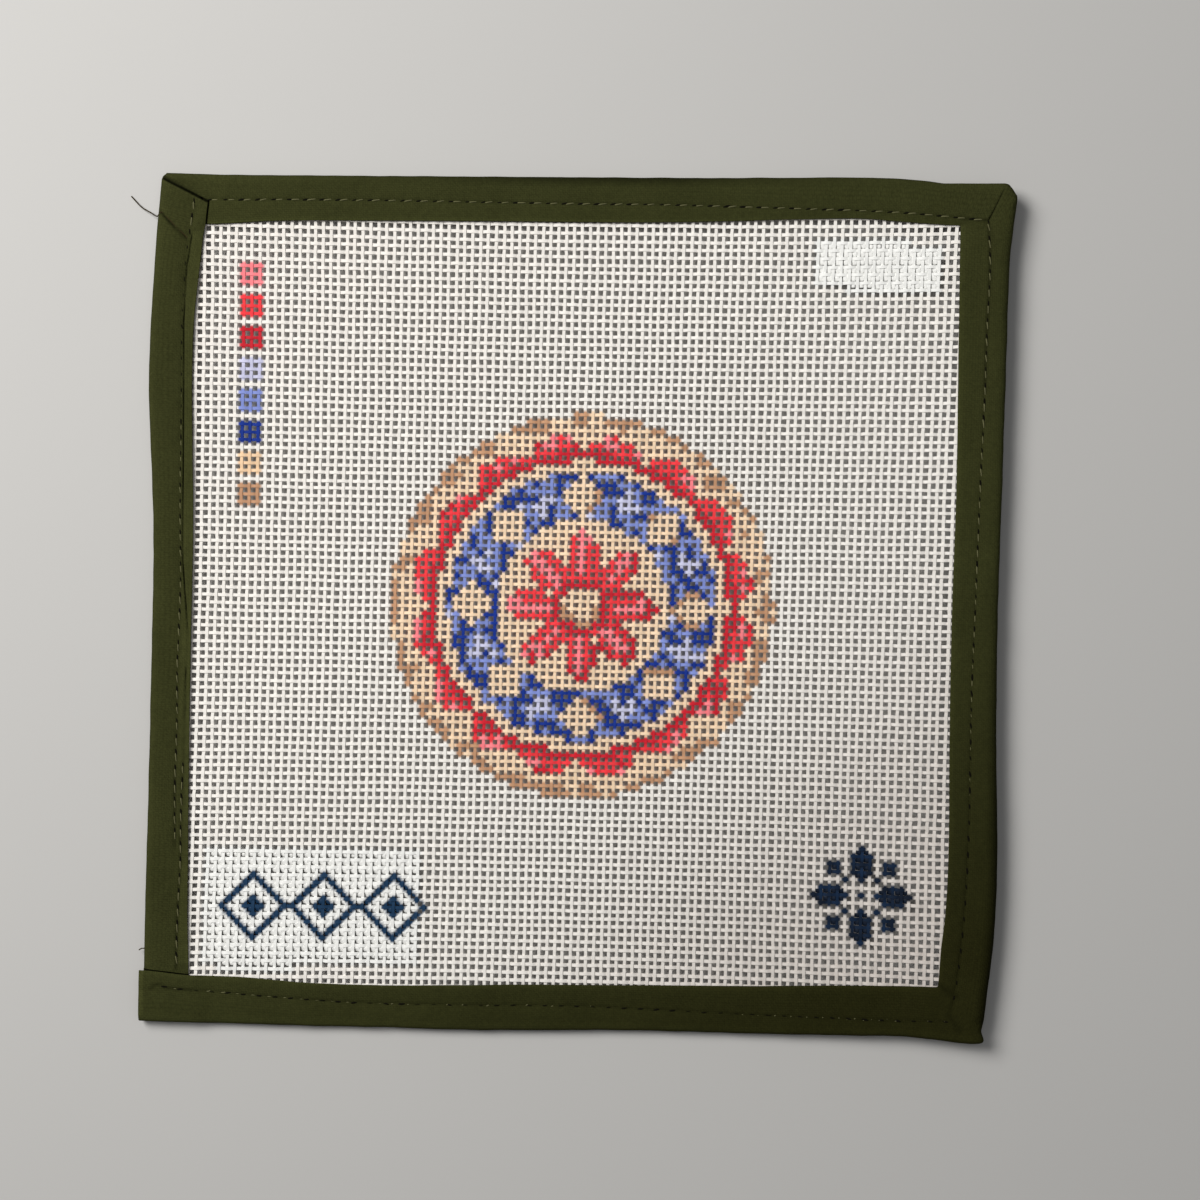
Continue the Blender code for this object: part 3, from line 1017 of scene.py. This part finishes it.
BULGE = (
    Corner((106.5, -94.0), (94.15, -92.6)),
    Corner((106.1, -98.0), (94.1, -93.2)),
    Corner((105.6, -102.4), (94.1, -93.7)),
    Corner((105.0, -105.1), (94.0, -93.95)),
    Corner((105.85, -107.4), (93.95, -94.05)),
    Corner((105.5, -108.0), (93.85, -94.12)),
    Corner((104.6, -108.25), (93.7, -94.17)),
    Corner((102.6, -108.4), (93.4, -94.2)),
    Corner((99.0, -108.2), (93.0, -94.2)),
    Corner((94.6, -107.75), (92.6, -94.2)),
)


def corner_lines(corners):
    """Lines across the tape at a corner. Where no knee is given, the line is straight."""
    lines = []
    for corner in corners:
        outer, inner = np.array(corner.outer, float), np.array(corner.inner, float)
        knee = outer + (inner - outer) * KNEE_SHARE if corner.knee is None else np.array(corner.knee, float)
        lines.append(Line(outer, knee, inner, corner.lift))
    return lines


def filled_in(lines, spacing=STATION_SPACING):
    """The lines, with more between any two that are further apart than the spacing."""
    finer = []
    for line, following in zip(lines, lines[1:]):
        gap = max(
            np.linalg.norm(np.subtract(getattr(following, part), getattr(line, part)))
            for part in ("outer", "knee", "inner")
        )
        steps = max(1, round(gap / spacing))
        for step in range(steps):
            share = step / steps
            finer.append(Line(*(a + (b - a) * share for a, b in zip(line, following))))
    return [*finer, lines[-1]]


def eased(lines, passes):
    """The lines with their corners rounded off."""
    for _ in range(passes):
        middle = [
            Line(*((a + 2 * b + c) / 4 for a, b, c in zip(before, line, after)))
            for before, line, after in zip(lines, lines[1:], lines[2:])
        ]
        lines = [lines[0], *middle, lines[-1]]
    return lines


def tape_lines():
    """Lines across the tape, all the way round from one end to the other."""
    start = corner_lines(
        Corner((-108.0, -94.8 + off), (-96.4, -96.05 + off), lift=lift) for off, lift in LAP_STEPS
    )
    left = [*filled_in(start), *eased(filled_in([start[-1], *run_lines(LEFT_RUN, True)]), 3)[1:]]
    left = filled_in([*left, *corner_lines(UPPER_LEFT)])
    under_fold = corner_lines(UNDER_FOLD)
    top = filled_in([*under_fold[2:], *run_lines(TOP_RUN, False)])
    rest = filled_in(
        [
            top[-1],
            *filled_in(corner_lines(CHAMFER), 0.25),
            *run_lines(RIGHT_RUN, True),
            *filled_in(corner_lines(BULGE), 0.4),
            *run_lines(BOTTOM_RUN, False),
        ]
    )
    return [*left, *under_fold[:2], *top[:-1], *eased(rest, 2)]


FACE_HEIGHTS = (
    (0.2, 3.47), (0.32, 3.5), (0.45, 3.42), (0.6, 3.32), (0.76, 3.36), (0.9, 3.27), (1.0, 3.14),
)
BESIDE_SEAM = (1.4, 0.95, 0.65, 0.42, 0.25, 0.12, 0, -0.12, -0.25, -0.42, -0.65, -0.95, -1.35, -1.9, -2.6)


def on_lines(lines, shares):
    """Places on the lines across the tape, at shares of its width from the outer edge."""
    outer, knee, inner = (np.array([getattr(line, part) for line in lines]) for part in Line._fields[:3])
    share = np.broadcast_to(shares, (len(lines), np.shape(shares)[-1]))[:, :, None]
    near = outer[:, None] + (knee - outer)[:, None] * share / KNEE_SHARE
    far = knee[:, None] + (inner - knee)[:, None] * (share - KNEE_SHARE) / (1 - KNEE_SHARE)
    return np.where(share < KNEE_SHARE, near, far)


def line_finder(runs):
    """A function that gives places' distances to the nearest of some runs, and how far along it."""
    samples = []
    for run in runs:
        line = through(run, 0.3)
        samples.extend(zip(line, distances_along(line)))
    tree = KDTree(len(samples))
    for number, (place, _) in enumerate(samples):
        tree.insert((*place, 0.0), number)
    tree.balance()

    def find(places):
        found = [tree.find((x, y, 0.0))[1:] for x, y in places]
        return np.array([f[1] for f in found]), np.array([samples[f[0]][1] for f in found])

    return find


def face_shares(lines):
    """Where the points of the tape's face lie across it: closest together beside the seam or the pleat."""
    left_finely = [*LEFT_LOWER_SEAM[:-2], *[p for p in LEFT_UPPER_SEAM if -64 < p[1] < -20], *PLEAT]
    find = line_finder([left_finely, TOP_SEAM, RIGHT_SEAM, BOTTOM_SEAM])
    grid = np.linspace(0.45, 0.85, 33)
    off = find(on_lines(lines, grid).reshape(-1, 2))[0].reshape(len(lines), -1)
    focus = np.pad(grid[off.argmin(axis=1)], 4, mode="edge")
    focus = np.convolve(focus, np.full(9, 1 / 9), mode="valid")[:, None]
    beside = focus + np.array(BESIDE_SEAM) / TYPICAL_WIDTH
    fold = FOLD_DEPTH / TYPICAL_WIDTH
    inward = beside[:, :1] + (1 - beside[:, :1]) * np.array([1.0, 0.66, 0.33])
    outward = beside[:, -1:] + (fold - beside[:, -1:]) * np.linspace(0.2, 1, 5)
    return np.hstack([inward, beside, outward])


def hidden_section():
    """The rest of the folded tape's section: round the fold, under the canvas and back inside."""
    radius = FOLD_HEIGHT / 2
    fold_share = FOLD_DEPTH / TYPICAL_WIDTH
    angles = [pi / 2 + pi * step / FOLD_STEPS for step in range(FOLD_STEPS + 1)]

    def arc(inset, some_angles):
        deep, tall = FOLD_DEPTH - inset, radius - inset
        return [((FOLD_DEPTH + deep * cos(a)) / TYPICAL_WIDTH, radius + tall * sin(a)) for a in some_angles]

    top = [(s, np.interp(s, *zip(*FACE_HEIGHTS)) - TAPE_THICK) for s in np.linspace(0.22, 0.985, 9)]
    return [
        *arc(0.0, angles[1:-1]),
        *[(s, 0.0) for s in np.linspace(fold_share, 0.98 * UNDERSIDE_SHARE, 8)],
        (UNDERSIDE_SHARE, TAPE_THICK / 2),
        *[(s, TAPE_THICK) for s in np.linspace(0.98 * UNDERSIDE_SHARE, fold_share, 5)],
        *arc(TAPE_THICK, angles[-2:0:-2]),
        *top,
        (1.008, 3.14 - TAPE_THICK / 2),
    ]


Crease = namedtuple("Crease", "start end depth width")
CREASES = (
    Crease((105.75, 105.6), (103.6, 100.9), 0.24, 0.22),
    Crease((103.6, 100.9), (102.2, 98.1), 0.36, 0.22),
    Crease((-105.2, 106.8), (-95.0, 101.2), 0.45, 0.17),
    Crease((-106.1, 97.95), (-99.3, 91.3), 0.5, 0.35),
    Crease((101.6, 97.3), (100.6, 95.9), 0.12, 0.3),
    Crease((102.6, 96.6), (103.5, 93.6), 0.1, 0.4),
    Crease((98.3, -96.4), (94.6, -93.9), 0.18, 0.9),
    Crease((97.0, -101.5), (99.5, -104.5), 0.15, 1.0),
    Crease((-97.8, -17.5), (-98.0, -30.7), 0.3, 0.22),
    Crease((-98.0, -30.7), (-98.3, -48.6), 0.14, 0.3),
    Crease((-96.5, -95.5), (-91.9, -96.3), 0.3, 0.3),
)


def crease_relief(places):
    """How far the creases cut into the tape's face, with the painted shade in them."""
    relief = np.zeros(len(places))
    painted_crease_shade = np.zeros(len(places))
    for crease in CREASES:
        off = off_line(places, np.array(crease.start), np.array(crease.end))
        cut = bell(off, crease.width)
        relief -= crease.depth * cut
        painted_crease_shade = np.maximum(painted_crease_shade, cut * min(1, crease.depth * 1.6))
    return relief, painted_crease_shade


def pleat_relief(places):
    """The pleat on the upper left: a sharp cut, with the cloth sunk on its left and raised on its right, and
    painted shade in the cut and to its left.
    """
    x, y = places.T
    pleat_x, pleat_y = np.array(PLEAT).T
    across = x - np.interp(y, pleat_y, pleat_x)
    depth = np.interp(y, (-18.0, 3.0, 91.0, 93.0), (0.0, 1.0, 1.0, 0.0)) * (x < -92)
    cut = bell(across, 0.19)
    ledge = np.where(across > 0, 0.28 * np.exp(-across / 1.8), -0.2 * np.exp(across / 1.1))
    # painted shade to the left of the pleat
    shade = np.where(across > 0, 0.0, 0.1 * np.exp(across / 0.9))
    return depth * (ledge - 0.55 * cut), depth * np.maximum(cut, shade)


def face_relief(places):
    """How far the tape's face rises or dips, with the painted shade of its seams, creases and pleat."""
    off_seam, along_seam = line_finder(SEAMS)(places)
    beat = np.cos(2 * pi * along_seam / STITCH_PITCH)
    sunk = bell(off_seam, 0.45)
    relief = -(0.14 + 0.08 * beat) * sunk
    relief += (0.05 * beat - 0.12) * bell(off_seam, 2.2)
    creases, crease_shade = crease_relief(places)
    pleat, pleat_shade = pleat_relief(places)
    relief += creases + pleat
    relief += 0.2 * ripples(places, 9.0, 2.0) + 0.1 * ripples(places, 2.6, 6.0)
    x, y = places.T
    # painted shade along the seams, stronger on the upper right and lower left seams
    darker_seam_shade = ((x > 95) & (y > 55)) | ((x < -95) & (y < -45))
    seam_shade = (0.15 + 0.3 * darker_seam_shade) * sunk
    shade = np.maximum.reduce([seam_shade, crease_shade, pleat_shade])
    return relief, shade


def lap_lift(places):
    """How far the tape's lapping end rides up over its start."""
    across, down = ramp(-places[:, 0], 90.0, 6.0), ramp(-places[:, 1], 93.0, 1.0)
    return 0.55 * across**2 * (3 - 2 * across) * down


def set_wear_and_painted_shade(mesh, flat, share, ring, rings, lift, upper, painted_shade):
    """Where the tape is rubbed lighter, where shade is painted dark into it, and where the falling light is
    painted in as the deeper olive.
    """
    right, up = flat.T
    at_left, at_right = (right < -95.5) & (np.abs(up) < 93), (right > 93) & (up < 98)
    worn = bell(share - 0.06, 0.1) * np.where(ring > rings * 3 // 4, 1.0, 0.15)
    worn += 0.45 * bell(share - 1.0, 0.06) + 0.9 * upper * (ring >= rings - 2)
    worn += 0.55 * at_left * ramp(share, 0.72, 0.08)
    worn += 0.9 * bell(np.hypot(right - 105.2, up + 107.5), 1.6)
    # painted falloff of the light, growing towards the lower right
    deep = ramp(0.55 * right - up, 45, 95)
    # painted shade on the rolled outer edge, along the top and down the right
    rolled_edge_shade = np.clip(1.25 - share / 0.2, 0, 1)
    painted_shade += 0.75 * rolled_edge_shade * bell(right - 8, 50) * (up > 95)
    painted_shade += 0.55 * rolled_edge_shade * at_right * ramp(-up, -10, 60) * (up > -103)
    # painted shadow where the tape steps down under the fold and under the lapping end
    painted_shade = np.maximum(painted_shade, np.clip(-lift * 2.2, 0, 1)) * upper
    for name, values in (("worn", worn), ("painted_shade", painted_shade), ("deep", deep)):
        set_values(mesh, name, np.clip(values, 0, 1))


def make_tape(material):
    """One tape, folded over the canvas's edge, stitched, and carried round its corners."""
    lines = tape_lines()
    rings = len(lines)
    face = face_shares(lines)
    hidden = np.array(hidden_section())
    shares = np.hstack([face, np.tile(hidden[:, 0], (rings, 1))])
    heights = np.hstack([np.interp(face, *zip(*FACE_HEIGHTS)), np.tile(hidden[:, 1], (rings, 1))])
    ring_size = shares.shape[1]
    grid = on_lines(lines, shares)
    flat = grid.reshape(-1, 2)
    ring = np.repeat(np.arange(rings), ring_size)
    share, height = shares.ravel(), heights.ravel()
    lift = np.array([line.lift for line in lines])[ring]

    relief, painted_shade = face_relief(flat)
    upper = np.where(height > 2.2, 1.0, np.clip(height / (FOLD_HEIGHT / 2) - 1, 0, 1))
    at_start, at_end = ring < rings // 8, ring > rings * 3 // 4
    z = height + upper * (relief + lift + at_end * lap_lift(flat))
    z = np.where(height > 2.2, np.maximum(z, CLEAR_OF_CANVAS), z)
    z += (1 - upper) * 0.6 * np.clip(-lift / 0.5, 0, 1) * at_start
    z += curl(flat[:, 0])
    outward = grid[:, :1] * 0 + (on_lines(lines, [0.0]) - on_lines(lines, [1.0]))
    outward = (outward / np.linalg.norm(outward, axis=2, keepdims=True)).repeat(ring_size, axis=1)
    loose = 0.12 * ripples(flat, 6.0, 12.0) * (share < 0.3)
    flat = flat + outward.reshape(-1, 2) * loose[:, None]

    point = np.arange(ring_size)
    beside = (point + 1) % ring_size
    base = np.arange(rings - 1)[:, None] * ring_size
    faces = np.stack(
        [base + point, base + beside, base + ring_size + beside, base + ring_size + point], axis=-1
    ).reshape(-1, 4)
    caps = [list(reversed(range(ring_size))), list(range((rings - 1) * ring_size, rings * ring_size))]
    mesh = new_mesh("tape", np.column_stack([flat, z]), [], [*faces.tolist(), *caps])
    set_wear_and_painted_shade(mesh, flat, share, ring, rings, lift, upper, painted_shade)
    tape_maps(mesh, flat.reshape(rings, ring_size, 2), np.column_stack([shares[0], heights[0]]))
    outward_faces(mesh)
    mesh.shade_smooth()
    mesh.set_sharp_from_angle(angle=radians(55))
    return shown("tape", mesh, material)


def tape_maps(mesh, flat, section):
    """The map of the tape as flat cloth, in metres, and the map that it is baked through."""
    rings, ring_size = flat.shape[:2]
    middle = flat[:, :23].mean(axis=1)
    along = distances_along(middle)
    round_it = section * (TYPICAL_WIDTH, 1.0)
    across = distances_along(np.vstack([round_it, round_it[:1]]))
    quads = (rings - 1) * ring_size
    vertex = corner_points(mesh)[: 4 * quads].reshape(-1, 4)
    ring = vertex // ring_size
    point = vertex % ring_size
    last = np.arange(quads) % ring_size == ring_size - 1
    point = np.where(last[:, None] & (point == 0), ring_size, point)
    place_along, place_across = along[ring], across[point]
    folds = 4
    quarter = along[-1] / folds * 1.001
    row = np.floor(along[ring[:, :1]] / quarter)
    maps = {
        "cloth": (place_along * MM, place_across * MM),
        "OFBake": (
            (place_along - row * quarter) / (quarter + 4 * STATION_SPACING),
            (row + 0.01 + 0.98 * place_across / across[-1]) / folds,
        ),
    }
    for name, (u, v) in maps.items():
        pairs = np.zeros((len(mesh.loops), 2), np.float32)
        pairs[: 4 * quads] = np.stack([u, v], axis=-1).reshape(-1, 2)
        set_map(mesh, name, pairs)


def outward_faces(mesh):
    """Turn a closed mesh's faces outwards."""
    work = bmesh.new()
    work.from_mesh(mesh)
    bmesh.ops.recalc_face_normals(work, faces=work.faces)
    work.to_mesh(mesh)
    work.free()


# ==== sewing

def surface_finder(piece):
    """A function that gives the height of a piece's face, or of its underside, at a place in millimetres."""
    mesh = piece.data
    tree = BVHTree.FromPolygons(
        [v.co.copy() for v in mesh.vertices], [tuple(p.vertices) for p in mesh.polygons]
    )

    def height(x, y, below=False):
        start = Vector((x * MM, y * MM, -0.05 if below else 0.05))
        hit = tree.ray_cast(start, Vector((0, 0, 1.0 if below else -1.0)))[0]
        return None if hit is None else hit.z / MM

    return height


def strand(name, points, thickness, material=None, sides=3):
    """A round strand along a smooth line through the points."""
    curve = bpy.data.curves.new(name, "CURVE")
    curve.dimensions = "3D"
    curve.bevel_depth = thickness / 2 * MM
    curve.bevel_resolution = sides - 2
    curve.use_fill_caps = True
    placed = through(points, 2 * thickness)
    spline = curve.splines.new("POLY")
    spline.points.add(len(placed) - 1)
    for point, place in zip(spline.points, placed):
        point.co = (*(place * MM), 1.0)
    spline.use_smooth = True
    holder = in_scene(name, curve)
    mesh = evaluated(holder, False)
    bpy.data.objects.remove(holder)
    bpy.data.curves.remove(curve)
    return shown(name, mesh, material)


def needle_mark():
    """A small dark oval of painted shadow, to lie where the needle went in."""
    work = bmesh.new()
    bmesh.ops.create_uvsphere(work, u_segments=8, v_segments=4, radius=0.5 * MM)
    bmesh.ops.scale(work, vec=(1.5, 0.44, 0.14), verts=work.verts)
    mesh = bpy.data.meshes.new("needle_mark")
    work.to_mesh(mesh)
    work.free()
    return shown("needle_mark", mesh)


def seam_base(name, height, below, raised, sunk_at_left, sunk_elsewhere):
    """The rows of stitching as lines on the tape's face or underside, sunk where only needle marks show."""
    places, edges = [], []
    for run in SEAMS:
        for number, (x, y) in enumerate(through(run, 0.7)):
            z = height(x, y, below)
            if z is None:
                continue
            if number:
                edges.append((len(places) - 1, len(places)))
            if x < -97 and y > -95:
                sunk = sunk_at_left * np.interp(y, (-20.0, 75.0, 93.0, 95.0), (0.0, 1.0, 1.0, 0.15))
            else:
                to_lower_right = np.interp(x - y, (50.0, 150.0), (0.0, 1.0))
                along_bottom = np.interp(x, (-104.0, -92.0, 50.0), (1.0, 0.72, 1.45)) * (y < -95)
                at_top_left = 0.4 * (y > 95 and x < -74)
                sunk = sunk_elsewhere * max(to_lower_right, along_bottom, at_top_left)
            places.append((x, y, z + raised - sunk))
    return new_mesh(name, places, edges)


def sewing(tree, tape, stitch_material, mark_material):
    """The machine stitches on both sides, with small dark ovals of painted shadow at the needle holes between
    them.
    """
    height = surface_finder(tape)
    rise = ((1.1, -0.3), (0.75, -0.04), (0.3, 0.05))
    arch = [*((-x, 0, z) for x, z in rise), *((x, 0, z) for x, z in reversed(rise))]
    stitch = strand("stitch", arch, 0.32)
    mark = needle_mark()
    pieces = []
    for name, piece, below, heights, inset, lean, slant, spread, material in (
        ("face_stitches", stitch, False, (0.04, 0.3, 0.26), 0.36, 0.12, 0.1, 0.12, stitch_material),
        ("needle_marks", mark, False, (0.05, 0.1, 0.0), 0.0, 0.18, 0.14, 0.25, mark_material),
        ("back_stitches", stitch, True, (0.1, 0.0, 0.0), 0.36, 0.0, 0.05, 0.05, stitch_material),
    ):
        base = seam_base(name, height, below, *heights)
        spacing, inset = STITCH_PITCH * MM, inset * STITCH_PITCH * MM
        looks = {"Lean": lean, "Slant": slant, "Size_Spread": spread, "Seed": 4, "Material": material}
        pieces.append(grown(name, base, tree, Piece=piece, Spacing=spacing, Inset=inset, **looks))
    bpy.data.objects.remove(stitch)
    bpy.data.objects.remove(mark)
    return pieces


def loose_ends(tape, material):
    """The loose tail of sewing thread at the upper left, and a nub of it at the lower left."""
    height = surface_finder(tape)
    tail_places = (
        (-113.9, 102.0), (-111.1, 99.2), (-108.5, 97.7), (-106.9, 96.8), (-106.2, 97.4),
        (-105.4, 97.8), (-103.6, 96.1), (-101.7, 94.1), (-100.2, 92.7), (-98.8, 91.4),
    )
    tail = []
    for x, y in tail_places:
        z = height(x, y)
        tail.append((x, y, 1.6 if z is None else z - 0.08))
    tail[0] = (*tail_places[0], 0.25)
    tail[1] = (*tail_places[1], 0.7)
    nub = ((-109.4, -90.1, 1.5), (-108.6, -89.6, 1.8), (-107.2, -89.6, 2.2))
    return [
        strand(name, places, LOOSE_THREAD_THICK, material)
        for name, places in (("thread_tail", tail), ("thread_nub", nub))
    ]


# ==== the studio

def make_camera():
    """The camera at the photograph's angle."""
    data = bpy.data.cameras.new("camera")
    data.sensor_width = SENSOR_WIDTH
    data.lens = CAMERA_LENS
    data.clip_start = 0.01
    data.clip_end = 50.0
    camera = in_scene("camera", data)
    axes = Matrix((CAMERA_RIGHT, CAMERA_UP, CAMERA_BACK)).transposed().to_4x4()
    camera.matrix_world = Matrix.Translation(Vector(CAMERA_PLACE) * MM) @ axes
    bpy.context.scene.camera = camera


def area_light(name, place, size, power, colour):
    """A square soft light that faces the panel's middle."""
    data = bpy.data.lights.new(name, "AREA")
    data.size = size
    data.energy = power
    data.color = colour
    light = in_scene(name, data)
    light.location = place
    light.rotation_euler = (-Vector(place)).to_track_quat("-Z", "Y").to_euler()


def make_studio():
    """A plain pale floor, soft light from the upper left, and a little from all round."""
    bpy.context.scene.view_settings.view_transform = "Standard"
    area_light("key light", (-0.48, 0.36, 0.67), 0.45, 9.0, (1.0, 0.985, 0.96))
    area_light("fill light", (0.3, 0.2, 1.5), 1.4, 1.9, (0.94, 0.97, 1.0))
    world = bpy.data.worlds.new("studio")
    world.use_nodes = True
    background = world.node_tree.nodes["Background"]
    background.inputs["Color"].default_value = (0.9, 0.9, 0.9, 1.0)
    background.inputs["Strength"].default_value = 0.17
    bpy.context.scene.world = world
    work = bmesh.new()
    bmesh.ops.create_grid(work, x_segments=1, y_segments=1, size=4.0)
    mesh = bpy.data.meshes.new("floor")
    work.to_mesh(mesh)
    work.free()
    floor = shown("floor", mesh, floor_material())


# ==== putting it together

def build():
    make_camera()
    make_studio()
    GROUPS["mottling"] = mottling_group()
    GROUPS["plain weave"] = plain_weave_group()
    GROUPS["twist"] = twist_group()

    chart = painted_chart()
    weave = woven_threads_tree()
    thread = canvas_material()
    middle = FIRST_THREAD + THREADS // 2
    upright, upright_right, *level = (
        canvas_threads(name, weave, thread, chart, first, is_level, wave, seed)
        for name, first, is_level, wave, seed in (
            ("upright_threads_left", FIRST_THREAD, False, UPRIGHT_WAVE, 3),
            ("upright_threads_right", middle, False, UPRIGHT_WAVE, 3),
            ("level_threads_lower", FIRST_THREAD, True, LEVEL_WAVE, 8),
            ("level_threads_upper", middle, True, LEVEL_WAVE, 8),
        )
    )
    paint = hole_paint(filled_holes_tree(), hole_paint_material())

    tape = make_tape(tape_material())
    sewing_thread = thread_material("olive sewing thread", OLIVE_THREAD)
    loose_thread = thread_material("loose sewing thread", LOOSE_THREAD)
    stitches = sewing(along_a_seam_tree(), tape, sewing_thread, needle_hole_shadow_material())
    ends = loose_ends(tape, loose_thread)

    others = [upright_right, *level, paint]
    for node, pieces in (("canvas", [upright, *others]), ("binding_tape", [tape, *stitches, *ends])):
        for piece in pieces:
            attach(piece, BODY)
            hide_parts(node)


build()
